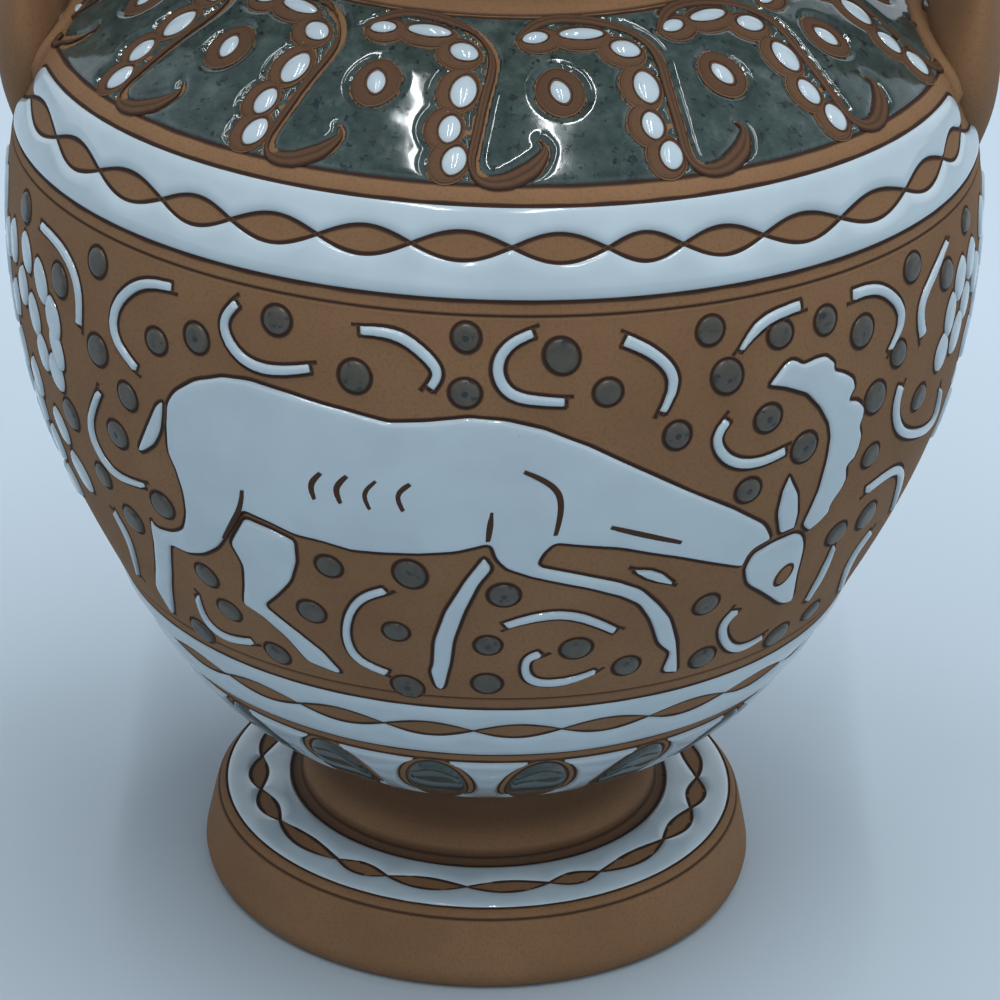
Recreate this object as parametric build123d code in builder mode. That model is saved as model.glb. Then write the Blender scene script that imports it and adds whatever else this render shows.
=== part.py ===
"""Two-handled footed flask of red clay with raised glaze ornament, in millimetres, +Z up.

The flask stands on Z = 0 with its turning axis on Z and its two handles on the X axis.
"""
import os
from math import cos, degrees, isclose, radians, sin

from build123d import *

os.makedirs("parts", exist_ok=True)

# Foot: a turned disc with a hollow underside, a bevelled rim, a collar and a short stem
foot_radius = 40.0
foot_base_radius = 39.0
foot_belly_height = 2.4
foot_wall_top_radius = 38.3
foot_wall_top_height = 10.4
foot_rim_radius = 37.0
foot_rim_height = 11.8
foot_recess_radius = 31.0
foot_recess_depth = 5.0
foot_recess_slope = 2.5
collar_radius = 26.0
collar_base_height = 12.8
collar_top_radius = 25.0
collar_top_height = 16.4
stem_radius = 22.0
stem_hollow = 0.9

# Body: its widest radius, how far the wall draws in from it, and the height of each station
body_base_height = 22.0
calyx_radius = 36.5
calyx_height = 30.6
belly_radius = 66.1
belly_height = 103.0
lower_belly_draw = 13.7
lower_belly_height = 53.0
mid_belly_draw = 2.9
mid_belly_height = 79.0
upper_belly_draw = 1.2
upper_belly_height = 115.5
shoulder_draw = 5.1
shoulder_height = 127.2
shoulder_rise = 1.2
shoulder_round = 4.0
wall = 5.0
body_floor = 8.0

# Neck and lip
neck_root_radius = 34.5
neck_root_height = 143.0
neck_waist_radius = 27.0
neck_waist_rise = 20.0
neck_top_radius = 33.0
lip_radius = 39.4
lip_top_height = 197.0
lip_height = 6.5
lip_flare = 4.5
lip_width = 9.0
lip_bulge = 1.6

# Handles: straps of flat oval section with spread roots on the shoulder
handle_thickness = 5.6
handle_width = 22.0
handle_inset = 2.9
handle_root_thickness = 11.0
handle_root_width = 28.0
handle_root_height = 126.0
handle_root_proud = 1.2
handle_tip_width = 9.0
handle_tip_height = 113.0
handle_strap_height = 139.0
handle_arch_drop = 13.0
handle_arch_radius = 20.0
handle_arch_turn = 104.0

# Glaze: how far it stands off the clay, and the bare clay left beside it
glaze_thickness = 0.6
glaze_seat = 0.08
glaze_gap = 1.8
handle_clearance = 1.6
foot_band_margin = 0.5
foot_band_split_radius = 31.2
lower_band_base = 40.7
lower_band_split = 46.4
lower_band_top = 51.7
upper_band_base = 115.7
upper_band_split = 121.8
upper_band_top = 126.2
field_inner_margin = 3.3
field_outer_margin = 2.8
calyx_base = 26.8
calyx_top = 39.2
calyx_count = 18
tongue_width = 8.0
tongue_length = 10.0
tongue_corner = 2.6
wedge_top_width = 5.4
wedge_base_width = 1.8
petal_width = 4.0
petal_length = 7.6
petal_rows = 6
petal_columns = 6
petal_row_step = 6.6
petal_first_height = 69.0
petal_column_step = 9.8

# Stations that follow from the sizes above
lower_belly_radius = belly_radius - lower_belly_draw
mid_belly_radius = belly_radius - mid_belly_draw
upper_belly_radius = belly_radius - upper_belly_draw
shoulder_radius = belly_radius - shoulder_draw
lip_base_height = lip_top_height - lip_height
neck_top_height = lip_base_height - lip_flare
neck_waist_height = neck_root_height + neck_waist_rise
handle_arch_height = lip_top_height - handle_arch_drop - handle_arch_radius
field_inner_radius = neck_root_radius + field_inner_margin
field_outer_radius = shoulder_radius - field_outer_margin

# Reach of the tools that are cut back to the skin of the body
far = 2 * belly_radius


def ring_edges(part, radius, height):
    """Edges of a turned piece that are circles of this radius at this height."""
    circles = part.edges().filter_by(GeomType.CIRCLE)
    return circles.filter_by(
        lambda edge: isclose(edge.radius, radius, abs_tol=0.01)
        and isclose(edge.arc_center.Z, height, abs_tol=0.01)
    )


def facing(azimuth, height):
    """Upright plane through the axis at this height, looking outwards at an azimuth in degrees."""
    outward = (cos(radians(azimuth)), sin(radians(azimuth)), 0)
    along = (-sin(radians(azimuth)), cos(radians(azimuth)), 0)
    return Plane(origin=(0, 0, height), x_dir=along, z_dir=outward)


def finish(piece, name):
    """Label a finished piece and write it to its own file."""
    piece.part.label = name
    export_step(piece.part, f"parts/{name}.step")


def foot_top_at(radius):
    """Height of the foot's sloping top at a radius."""
    share = (foot_rim_radius - radius) / (foot_rim_radius - collar_radius)
    return foot_rim_height + share * (collar_base_height - foot_rim_height)


# Foot
with BuildPart() as foot:
    with BuildSketch(Plane.XZ):
        with BuildLine():
            Polyline(
                (0, foot_recess_depth),
                (foot_recess_radius - foot_recess_slope, foot_recess_depth),
                (foot_recess_radius, 0),
                (foot_base_radius, 0),
                (foot_radius, foot_belly_height),
                (foot_wall_top_radius, foot_wall_top_height),
                (foot_rim_radius, foot_rim_height),
                (collar_radius, collar_base_height),
                (collar_top_radius, collar_top_height),
            )
            ThreePointArc(
                (collar_top_radius, collar_top_height),
                (stem_radius - stem_hollow, (collar_top_height + body_base_height) / 2),
                (stem_radius, body_base_height),
            )
            Polyline(
                (stem_radius, body_base_height),
                (0, body_base_height),
                (0, foot_recess_depth),
            )
        make_face()
    revolve(axis=Axis.Z)
finish(foot, "foot")

# Body: the closed outer form first, then the wall left by turning out the inside
body_points = [
    (stem_radius, body_base_height),
    (calyx_radius, calyx_height),
    (lower_belly_radius, lower_belly_height),
    (mid_belly_radius, mid_belly_height),
    (belly_radius, belly_height),
    (upper_belly_radius, upper_belly_height),
    (shoulder_radius, shoulder_height),
]
with BuildPart() as body_form:
    with BuildSketch(Plane.XZ):
        with BuildLine():
            Spline(body_points)
            SagittaArc(
                (shoulder_radius, shoulder_height),
                (neck_root_radius, neck_root_height),
                -shoulder_rise,
            )
            Polyline(
                (neck_root_radius, neck_root_height),
                (0, neck_root_height),
                (0, body_base_height),
                (stem_radius, body_base_height),
            )
        make_face()
    revolve(axis=Axis.Z)
    fillet(ring_edges(body_form, shoulder_radius, shoulder_height), radius=shoulder_round)

neck_bore_radius = neck_root_radius - wall
cavity_points = [
    (0, body_base_height + body_floor),
    (lower_belly_radius - wall, lower_belly_height + wall / 2),
    (mid_belly_radius - wall, mid_belly_height),
    (belly_radius - wall, belly_height),
    (shoulder_radius - wall, shoulder_height - wall),
]
with BuildPart() as body:
    add(body_form.part)
    with BuildSketch(Plane.XZ):
        with BuildLine():
            Spline(cavity_points, tangents=[(1, 0), (-1, 1)])
            Polyline(
                cavity_points[-1],
                (neck_bore_radius, neck_root_height - wall),
                (neck_bore_radius, neck_root_height),
                (0, neck_root_height),
                (0, body_base_height + body_floor),
            )
        make_face()
    revolve(axis=Axis.Z, mode=Mode.SUBTRACT)
finish(body, "body")

# Neck with its flaring lip
with BuildPart() as neck_form:
    with BuildSketch(Plane.XZ):
        with BuildLine():
            Spline(
                (neck_root_radius, neck_root_height),
                (neck_waist_radius, neck_waist_height),
                (neck_top_radius, neck_top_height),
                (lip_radius, lip_base_height),
            )
            ThreePointArc(
                (lip_radius, lip_base_height),
                (lip_radius + lip_bulge, (lip_base_height + lip_top_height) / 2),
                (lip_radius, lip_top_height),
            )
            Polyline(
                (lip_radius, lip_top_height),
                (0, lip_top_height),
                (0, neck_root_height),
                (neck_root_radius, neck_root_height),
            )
        make_face()
    revolve(axis=Axis.Z)

with BuildPart() as neck:
    add(neck_form.part)
    with BuildSketch(Plane.XZ):
        with BuildLine():
            Spline(
                (neck_bore_radius, neck_root_height),
                (neck_waist_radius - wall, neck_waist_height),
                (neck_top_radius - wall, neck_top_height),
                (lip_radius - lip_width, lip_top_height),
            )
            Polyline(
                (lip_radius - lip_width, lip_top_height),
                (0, lip_top_height),
                (0, neck_root_height),
                (neck_bore_radius, neck_root_height),
            )
        make_face()
    revolve(axis=Axis.Z, mode=Mode.SUBTRACT)
finish(neck, "neck")

# Handles: the root is lofted from the shoulder, the strap is swept up and over to the neck
handle_line = belly_radius - handle_inset
root_line = belly_radius + handle_root_proud - handle_root_thickness / 2
root_sections = [
    (handle_tip_height, root_line, handle_root_thickness - 3 * handle_root_proud, handle_tip_width),
    (handle_root_height, root_line, handle_root_thickness, handle_root_width),
    (handle_strap_height, handle_line, handle_thickness, handle_width),
]
with BuildPart() as handle_right:
    for height, line, thickness, width in root_sections:
        with BuildSketch(Plane.XY.offset(height)):
            with Locations((line, 0)):
                Ellipse(thickness / 2, width / 2)
    loft()
    with BuildLine(Plane.XZ) as strap_path:
        rise = Line((handle_line, handle_strap_height), (handle_line, handle_arch_height))
        arch = JernArc(rise @ 1, rise % 1, handle_arch_radius, handle_arch_turn)
        PolarLine(arch @ 1, belly_radius / 2, direction=arch % 1)
    with BuildSketch(Plane.XY.offset(handle_strap_height)):
        with Locations((handle_line, 0)):
            Ellipse(handle_thickness / 2, handle_width / 2)
    sweep(path=strap_path.wire())
    add(body_form.part, mode=Mode.SUBTRACT)
    add(neck_form.part, mode=Mode.SUBTRACT)
finish(handle_right, "handle_right")

with BuildPart() as handle_left:
    mirror(handle_right.part, about=Plane.YZ)
finish(handle_left, "handle_left")

# Bare clay that the glaze leaves round the handle roots
with BuildPart() as handle_surround:
    with BuildSketch():
        with Locations((root_line, 0), (-root_line, 0)):
            Ellipse(
                handle_root_thickness / 2 + handle_clearance,
                handle_root_width / 2 + handle_clearance,
            )
    extrude(amount=lip_top_height)

# Skin of the body that all its glaze is cut from, a hair off the clay
with BuildPart() as skin_bed:
    add(body_form.part)
    offset(amount=glaze_seat)

with BuildPart() as skin:
    add(body_form.part)
    offset(amount=glaze_seat + glaze_thickness)
    add(skin_bed.part, mode=Mode.SUBTRACT)


def band(low, high):
    """Ring of the skin between two heights, left bare round the handle roots."""
    with BuildPart() as strip:
        with Locations((0, 0, (low + high) / 2)):
            Cylinder(far, high - low)
        add(skin.part, mode=Mode.INTERSECT)
        add(handle_surround.part, mode=Mode.SUBTRACT)
    return strip


# White bands round the body, each of two strips with bare clay between them
finish(band(lower_band_base, lower_band_split - glaze_gap / 2), "lower_band_lower_strip")
finish(band(lower_band_split + glaze_gap / 2, lower_band_top), "lower_band_upper_strip")
finish(band(upper_band_base, upper_band_split - glaze_gap / 2), "upper_band_lower_strip")
finish(band(upper_band_split + glaze_gap / 2, upper_band_top), "upper_band_upper_strip")


def foot_ring(inner, outer):
    """Flat ring of glaze lying on the sloping top of the foot."""
    with BuildPart() as ring:
        with BuildSketch(Plane.XZ):
            with BuildLine():
                Polyline(
                    (inner, foot_top_at(inner)),
                    (outer, foot_top_at(outer)),
                    (outer, foot_top_at(outer) + glaze_thickness),
                    (inner, foot_top_at(inner) + glaze_thickness),
                    close=True,
                )
            make_face()
        revolve(axis=Axis.Z)
    return ring


inner_strip = foot_ring(collar_radius + foot_band_margin, foot_band_split_radius - glaze_gap / 2)
outer_strip = foot_ring(foot_band_split_radius + glaze_gap / 2, foot_rim_radius - foot_band_margin)
finish(inner_strip, "foot_band_inner_strip")
finish(outer_strip, "foot_band_outer_strip")

# Green field over the shoulder
with BuildPart() as shoulder_field:
    with BuildSketch():
        Circle(field_outer_radius)
        Circle(field_inner_radius, mode=Mode.SUBTRACT)
    extrude(amount=lip_top_height)
    add(skin.part, mode=Mode.INTERSECT)
    with Locations((0, 0, belly_height / 2)):
        Cylinder(far, belly_height, mode=Mode.SUBTRACT)
    add(handle_surround.part, mode=Mode.SUBTRACT)
finish(shoulder_field, "shoulder_field")

# Calyx under the lower band: green tongues with white wedges between them
calyx_middle = (calyx_base + calyx_top) / 2
with BuildPart() as tongue:
    with BuildSketch(facing(0, calyx_middle)):
        corners = Rectangle(tongue_width, tongue_length).vertices()
        chamfer(corners, length=tongue_corner)
    extrude(amount=far)
    add(skin.part, mode=Mode.INTERSECT)

with BuildPart() as calyx_tongues:
    with PolarLocations(0, calyx_count):
        add(tongue.part)
finish(calyx_tongues, "calyx_tongues")

with BuildPart() as wedge:
    with BuildSketch(facing(180 / calyx_count, calyx_middle)):
        with BuildLine():
            Polyline(
                (-wedge_base_width / 2, calyx_base - calyx_middle),
                (wedge_base_width / 2, calyx_base - calyx_middle),
                (wedge_top_width / 2, calyx_top - calyx_middle),
                (-wedge_top_width / 2, calyx_top - calyx_middle),
                close=True,
            )
        make_face()
    extrude(amount=far)
    add(skin.part, mode=Mode.INTERSECT)

with BuildPart() as calyx_wedges:
    with PolarLocations(0, calyx_count):
        add(wedge.part)
finish(calyx_wedges, "calyx_wedges")

# Grazing goat, drawn in front view in separate cells of white glaze
goat_back = [
    (-40.5, 90), (-37, 99.5), (-26, 101.3), (-12, 99.2), (-2, 100.6), (8, 99), (20, 92.5), (37, 78.5),
]
goat_throat = [(33, 74.5), (24, 78.4), (9.5, 82.2), (6.5, 79.8)]
goat_belly = [(1, 82), (-8, 80), (-20, 79.8), (-30.3, 82)]
goat_rump = [(-33, 76), (-37, 72), (-41, 72.3), (-38.4, 78), (-40.5, 90)]
goat_limbs = [
    [(7.2, 79), (17.5, 75.4), (23, 70), (25.6, 62.6), (26, 56), (23.6, 56.5), (21.6, 67.5),
     (13.3, 74.5), (3, 78.2)],
    [(0.2, 80.4), (-4.7, 70.7), (-6.3, 60), (-5.6, 56), (-4.4, 55.8), (-3.2, 65.5), (1.5, 78.4)],
    [(-23.3, 79), (-24.2, 72), (-28, 66.2), (-20.3, 60), (-17.8, 56.3), (-22.5, 57.3), (-31, 65.5),
     (-30.7, 73), (-32, 75)],
    [(-41, 71), (-41, 57.6), (-43.4, 61), (-43.3, 74)],
    [(-41.4, 94.6), (-43.2, 90.2), (-44.6, 85.8), (-42.2, 87.6), (-41.2, 91)],
    [(34.6, 76.4), (40.1, 77.4), (41.6, 74.4), (41.1, 69), (40.4, 63.8), (39, 63.9), (34, 70.5),
     (33.6, 73.6)],
    [(37.7, 78.3), (37.5, 81.8), (38.4, 87.4), (39.9, 84), (39.6, 78.6)],
]
horn_inside = [(41.4, 78.4), (43.4, 87), (42.8, 93.8), (39.4, 99), (35, 101.5)]
horn_outside = [(35, 101.5), (38, 103.8), (43.8, 101), (47.8, 93), (46.8, 84), (41.4, 78.4)]
with BuildPart() as goat_front:
    with BuildSketch(Plane.XZ):
        with BuildLine():
            Spline(goat_back)
            Line(goat_back[-1], goat_throat[0])
            Spline(goat_throat)
            Line(goat_throat[-1], goat_belly[0])
            Spline(goat_belly)
            Line(goat_belly[-1], goat_rump[0])
            Polyline(goat_rump)
        make_face()
        with BuildLine():
            Spline(horn_inside)
            Spline(horn_outside)
        make_face()
        for limb in goat_limbs:
            with BuildLine():
                Polyline(limb, close=True)
            make_face()
    extrude(amount=far)
    add(skin.part, mode=Mode.INTERSECT)
finish(goat_front, "goat_front")

with BuildPart() as goat_rear:
    add(goat_front.part, rotation=(0, 0, 180))
finish(goat_rear, "goat_rear")

# Leaf bunch under each handle: staggered rows of six-sided petals, widest in the middle rows
with BuildPart() as petals_right:
    for row in range(petal_rows):
        height = petal_first_height + row * petal_row_step
        with BuildPart(mode=Mode.PRIVATE) as petal:
            with BuildSketch(facing(0, height)):
                with BuildLine():
                    Polyline(
                        (0, -petal_length / 2),
                        (petal_width / 2, -petal_length / 6),
                        (petal_width / 2, petal_length / 6),
                        (0, petal_length / 2),
                        (-petal_width / 2, petal_length / 6),
                        (-petal_width / 2, -petal_length / 6),
                        close=True,
                    )
                make_face()
            extrude(amount=far)
            add(skin.part, mode=Mode.INTERSECT)
        columns = petal_columns - row % 2
        for column in range(columns):
            walked = (column - (columns - 1) / 2) * petal_column_step
            add(petal.part, rotation=(0, 0, degrees(walked / belly_radius)))
finish(petals_right, "petals_right")

with BuildPart() as petals_left:
    mirror(petals_right.part, about=Plane.YZ)
finish(petals_left, "petals_left")
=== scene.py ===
"""Looks of the two-handled footed flask: clay sections, raised glaze cells and incised lines."""
import math

import bpy
import numpy as np
from mathutils import Matrix
from mathutils.geometry import delaunay_2d_cdt
from mathutils.kdtree import KDTree


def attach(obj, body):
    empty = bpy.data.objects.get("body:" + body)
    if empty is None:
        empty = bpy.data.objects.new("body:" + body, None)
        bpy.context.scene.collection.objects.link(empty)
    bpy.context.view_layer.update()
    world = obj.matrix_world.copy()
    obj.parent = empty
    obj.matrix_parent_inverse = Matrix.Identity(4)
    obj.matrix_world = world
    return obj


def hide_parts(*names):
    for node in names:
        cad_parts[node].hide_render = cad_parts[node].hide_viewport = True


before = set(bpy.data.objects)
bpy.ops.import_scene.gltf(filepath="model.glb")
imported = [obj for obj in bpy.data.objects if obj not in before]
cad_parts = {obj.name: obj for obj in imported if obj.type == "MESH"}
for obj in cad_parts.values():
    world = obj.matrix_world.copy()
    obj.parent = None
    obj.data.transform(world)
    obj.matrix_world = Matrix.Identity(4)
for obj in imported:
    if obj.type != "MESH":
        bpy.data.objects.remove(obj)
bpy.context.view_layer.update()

# Lengths of the flask are in millimetres; meshes are scaled to metres when they are made
MM = 0.001
TINY = 1e-9
TURN = 2 * math.pi

# Camera, as fitted to the photograph's ring lines and outline
PHOTO_SIZE = 1000
PHOTO_FOCAL = 4000.0
CAMERA_TARGET = (1.99, 0.0, 56.87)
CAMERA_DISTANCE = 567.6
CAMERA_ELEVATION = 26.217
CAMERA_ROLL = 1.704
SENSOR_WIDTH = 36.0

# Turned profiles as (radius, height), the same sizes as the solids
BODY_POINTS = [
    (22.0, 22.0), (36.5, 30.6), (52.4, 53.0), (63.2, 79.0), (66.1, 103.0), (64.9, 115.5), (61.0, 127.2)]
NECK_ROOT = (34.5, 143.0)
SHOULDER_ROUND = 3.0
CAVITY_POINTS = [
    (0.0, 30.0), (22.0, 33.6), (36.0, 42.1), (47.4, 55.5), (58.2, 79.0), (61.1, 103.0), (56.0, 122.2)]
CAVITY_TOP = (29.5, 138.0)
NECK_POINTS = [NECK_ROOT, (27.0, 163.0), (33.0, 186.0), (39.4, 190.5)]
LIP_TOP = 197.0
BORE_POINTS = [(29.5, 143.0), (22.0, 163.0), (28.0, 186.0), (30.4, LIP_TOP)]
RING_OUTER = (37.0, 11.8)
RING_INNER = (26.0, 12.8)
FOOT_POINTS = [
    (0, 5.0), (28.5, 5.0), (31.0, 0), (39.0, 0), (40.0, 2.4), (38.3, 10.4), RING_OUTER, RING_INNER,
    (25.0, 16.4), (22.0, 18.6), (21.6, 20.4), (22.0, 22.0), (0, 22.0)]
PROFILE_STEP = 0.5

# Glaze relief: its edges end a little under the clay
GLAZE = 0.5
GLAZE_EDGE = 0.6
EDGE_SINK = -0.06
DOME_SHARES = (1.0, 0.97, 0.9, 0.78, 0.6, 0.4, 0.2, 0.05)
STRIP_EDGE = 1.5
STRIP_EDGE_SHARE = 0.42
STRIP_EDGE_STEPS = np.array([0.0, 0.04, 0.14, 0.32, 0.6, 1.0])
STRIP_MIDDLE = (0.25, 0.5, 0.75)
STRIP_LEAST = 0.02
STRIP_RIPPLE = 0.12
SEAM_POWER = 16
CELL_STEP = 0.4
CELL_GRID = 0.9
CELL_RINGS = (0.1, 0.28, 0.55)
RING_CLEARANCE = 0.93
GRID_CLEARANCE = 0.8
CELL_RIM = 0.02
CELL_RIPPLE = 0.1
ALL_TRIANGLES, MERGE_WITHIN = 0, 1e-5

# Incised lines, across: a dark floor between two burrs
LINE_WIDTH = 0.5
LINE_LIFT = 0.02
LINE_GAP = 0.2
LINE_REACH = 0.8
LINE_WANDER = 0.22
LINE_SHARES = np.array([-1.0, -0.62, -0.3, 0.3, 0.62, 1.0])
LINE_HEIGHTS = np.array([-0.03, 0.06, 0.0, 0.0, 0.06, -0.03])
LINE_TONES = np.array([0.0, 0.75, 1.0, 1.0, 0.75, 0.0])


def lengths(points):
    """Length along a polyline at each of its points."""
    return np.concatenate([[0], np.cumsum(np.linalg.norm(np.diff(points, axis=0), axis=1))])


def smooth_through(points, per_span=40):
    """Natural cubic curve through points, by chord length."""
    pts = np.array(points, float)
    t = lengths(pts)
    n = len(pts)
    h = np.diff(t)
    system = np.eye(n)
    for i in range(1, n - 1):
        system[i, i - 1:i + 2] = h[i - 1], 2 * (h[i - 1] + h[i]), h[i]
    bends = np.zeros_like(pts)
    bends[1:-1] = 6 * np.diff(np.diff(pts, axis=0) / h[:, None], axis=0)
    m = np.linalg.solve(system, bends)
    u = np.linspace(0, t[-1], per_span * (n - 1) + 1)
    k = np.clip(np.searchsorted(t, u, "right") - 1, 0, n - 2)
    a = ((t[k + 1] - u) / h[k])[:, None]
    b = ((u - t[k]) / h[k])[:, None]
    hh = (h[k] ** 2)[:, None] / 6
    return a * pts[k] + b * pts[k + 1] + ((a ** 3 - a) * m[k] + (b ** 3 - b) * m[k + 1]) * hh


def arc_between(start, end, rise, count=24):
    """Parabola from start to end that bulges by rise to its left."""
    start, end = np.array(start, float), np.array(end, float)
    t = np.linspace(0, 1, count)[:, None]
    along = end - start
    side = np.array([-along[1], along[0]]) / np.linalg.norm(along)
    return start + along * t + side * (4 * rise * t * (1 - t))


def by_length(points, step):
    """The polyline walked at even steps of length."""
    pts = np.array(points, float)
    s = lengths(pts)
    u = np.linspace(0, s[-1], max(2, int(round(s[-1] / step)) + 1))
    return np.stack([np.interp(u, s, pts[:, i]) for i in range(pts.shape[1])], -1)


def round_corners(points, radius, count=5, most=0.45):
    """Polyline with its corners eased over a radius, or at most this share of a side."""
    pts = np.array(points, float)
    out = [pts[0]]
    for before, corner, after in zip(pts[:-2], pts[1:-1], pts[2:]):
        a, b = before - corner, after - corner
        la, lb = np.linalg.norm(a), np.linalg.norm(b)
        p = corner + a / la * min(radius, la * most)
        q = corner + b / lb * min(radius, lb * most)
        for t in np.linspace(0, 1, count):
            out.append((1 - t) ** 2 * p + 2 * t * (1 - t) * corner + t ** 2 * q)
    out.append(pts[-1])
    return np.array(out)


def bell(x, width):
    """Bell curve of height 1 at 0."""
    return np.exp(-(x / width) ** 2)


def sway(count, pace):
    """Value from -1 to 1 that wanders as a count goes up."""
    return np.sin(count * pace)


def ripple(a, b, seed, pace):
    """Smooth value from -1 to 1 that wanders over two coordinates at a pace for each."""
    a, b = a * pace[0], b * pace[1]
    return (np.sin(a + seed * 1.7 + 1.3 * np.sin(b * 0.7 + seed))
            + np.sin(b * 1.3 - seed * 2.1 + 1.1 * np.sin(a * 0.6 - seed))
            + np.sin((a + b) * 0.8 + seed * 0.9)) / 3


class Turned:
    """Surface of revolution walked by arc length along its outer profile."""

    def __init__(self, profile):
        self.s = lengths(profile)
        self.r, self.z = profile.T
        dr, dz = np.gradient(self.r, self.s), np.gradient(self.z, self.s)
        size = np.hypot(dr, dz)
        self.nr, self.nz = dz / size, -dr / size

    def lifted(self, s, lift):
        """Radius and height at a length along the profile, lifted off it."""
        r = np.interp(s, self.s, self.r) + lift * np.interp(s, self.s, self.nr)
        z = np.interp(s, self.s, self.z) + lift * np.interp(s, self.s, self.nz)
        return r, z

    def place(self, az, s, lift=0.0):
        az, s, lift = np.broadcast_arrays(az, s, lift)
        r, z = self.lifted(s, lift)
        return np.stack([r * np.cos(az), r * np.sin(az), z], -1)

    def radius(self, s):
        return np.interp(s, self.s, self.r)

    def at_height(self, z):
        return np.interp(z, self.z, self.s)

    def near(self, point):
        """Length along the profile at its point nearest to a radius and height."""
        return self.s[np.argmin(np.hypot(self.r - point[0], self.z - point[1]))]


belly = smooth_through(BODY_POINTS)
shoulder = arc_between(BODY_POINTS[-1], NECK_ROOT, rise=-1.2)
sharp = by_length(np.concatenate([belly, shoulder[1:]]), PROFILE_STEP)
corner = np.argmin(np.hypot(*(sharp - np.array(BODY_POINTS[-1])).T))
reach = int(SHOULDER_ROUND / PROFILE_STEP)
eased = round_corners(sharp[[corner - reach, corner, corner + reach]], radius=9.0, count=13)
BODY_PROFILE = np.concatenate([sharp[:corner - reach], eased[1:-1], sharp[corner + reach + 1:]])
BODY = Turned(BODY_PROFILE)
FOOT_TOP = Turned(np.linspace(RING_OUTER, RING_INNER, 3))

# View axes of the photograph's camera
elevation, roll = math.radians(CAMERA_ELEVATION), math.radians(CAMERA_ROLL)
back = np.array([0.0, -math.cos(elevation), math.sin(elevation)])
EYE = np.array(CAMERA_TARGET) + back * CAMERA_DISTANCE
FORWARD = -back
level_right = np.array([1.0, 0.0, 0.0])
level_up = np.cross(level_right, FORWARD)
RIGHT = math.cos(roll) * level_right + math.sin(roll) * level_up
UP = -math.sin(roll) * level_right + math.cos(roll) * level_up
# Steps of a ray past the flask, from the camera, and azimuths of the front half
RAY = CAMERA_DISTANCE + np.linspace(-120, 40, 1600)
FRONT = np.radians(np.linspace(-179, -1, 1200))


def on_body(pixels):
    """Azimuth and profile length where pixels of the photograph meet the body."""
    px = np.array(pixels, float) - PHOTO_SIZE / 2
    d = FORWARD + (RIGHT * px[:, :1] - UP * px[:, 1:]) / PHOTO_FOCAL
    d /= np.linalg.norm(d, axis=1)[:, None]
    walk = EYE + d[:, None, :] * RAY[None, :, None]
    z = walk[..., 2]
    surface = np.where((z > BODY.z[0]) & (z < BODY.z[-1]), np.interp(z, BODY.z, BODY.r), 0.0)
    gap = np.hypot(walk[..., 0], walk[..., 1]) - surface
    inside = gap < 0
    first = np.where(inside.any(1), np.argmax(inside, 1), np.argmin(gap, 1))
    hit = walk[np.arange(len(px)), first]
    return np.stack([np.arctan2(hit[:, 1], hit[:, 0]), BODY.at_height(hit[:, 2])], -1)


def drawn(path, step, per_span=12):
    """Curve through pixels of the photograph, laid on the body at even steps in pixels."""
    return on_body(by_length(smooth_through(path, per_span), step))


def ring_azimuths(height, pixels_x):
    """Azimuths on the front of a ring of the body that are seen at these columns of the photograph."""
    d = BODY.place(FRONT, BODY.at_height(height)) - EYE
    return np.interp(pixels_x, PHOTO_SIZE / 2 + PHOTO_FOCAL * (d @ RIGHT) / (d @ FORWARD), FRONT)


class Bin:
    """Gathers the surfaces of one piece, with a tone from 0, bare, to 1, dark incised line; on the foot the
    tone also holds painted shade.
    """

    def __init__(self):
        self.verts, self.faces, self.tone = [], [], []
        self.count = 0

    def add(self, verts, faces, tone=0.0):
        verts = np.asarray(verts, float).reshape(-1, 3)
        self.verts.append(verts)
        self.tone.append(np.broadcast_to(np.ravel(tone), len(verts)))
        self.faces.extend([tuple(i + self.count for i in face) for face in faces])
        self.count += len(verts)

    def grid(self, points, tone=0.0, wrap=False):
        rows, cols = points.shape[:2]
        last = cols if wrap else cols - 1
        faces = []
        for i in range(rows - 1):
            for j in range(last):
                k = (j + 1) % cols
                faces.append((i * cols + j, i * cols + k, (i + 1) * cols + k, (i + 1) * cols + j))
        self.add(points, faces, np.broadcast_to(tone, (rows, cols)))

    def take(self, other, degrees=0):
        """Add the surfaces of another bin, turned about the axis of the flask."""
        c, s = math.cos(math.radians(degrees)), math.sin(math.radians(degrees))
        spin = np.array([[c, -s, 0], [s, c, 0], [0, 0, 1]])
        self.add(np.concatenate(other.verts) @ spin.T, other.faces, np.concatenate(other.tone))


def make(name, bin_, look, *nodes):
    """Make the object of a piece, put it in the frame and hide the imported nodes that it stands for."""
    material, slot = look
    mesh = bpy.data.meshes.new(name)
    mesh.from_pydata((np.concatenate(bin_.verts) * MM).tolist(), [], bin_.faces)
    tone = mesh.attributes.new("tone", "FLOAT", "POINT")
    tone.data.foreach_set("value", np.concatenate(bin_.tone).astype(np.float32))
    mesh.polygons.foreach_set("use_smooth", [True] * len(mesh.polygons))
    mesh.materials.append(material)
    mesh.update()
    piece = bpy.data.objects.new(name, mesh)
    bpy.context.scene.collection.objects.link(piece)
    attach(piece, "root")
    if nodes:
        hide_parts(*nodes)


def make_both(name, sides, bin_, look, *nodes):
    """Make a piece and its copy after half a turn; braces in the names stand for the side."""
    twin = Bin()
    twin.take(bin_, 180)
    for side, part in zip(sides, (bin_, twin)):
        make(name.format(side), part, look, *[node.format(side) for node in nodes])


# Building blocks of glaze and line, all laid on the turned body or foot
def edge_lift(depth, width, thickness):
    """Height of a glaze pool at a depth from its edge: a quarter round that levels off."""
    x = np.clip(depth / width, 0, 1)
    return thickness * np.sqrt(np.maximum(0, 1 - (1 - x) ** 2))


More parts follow.
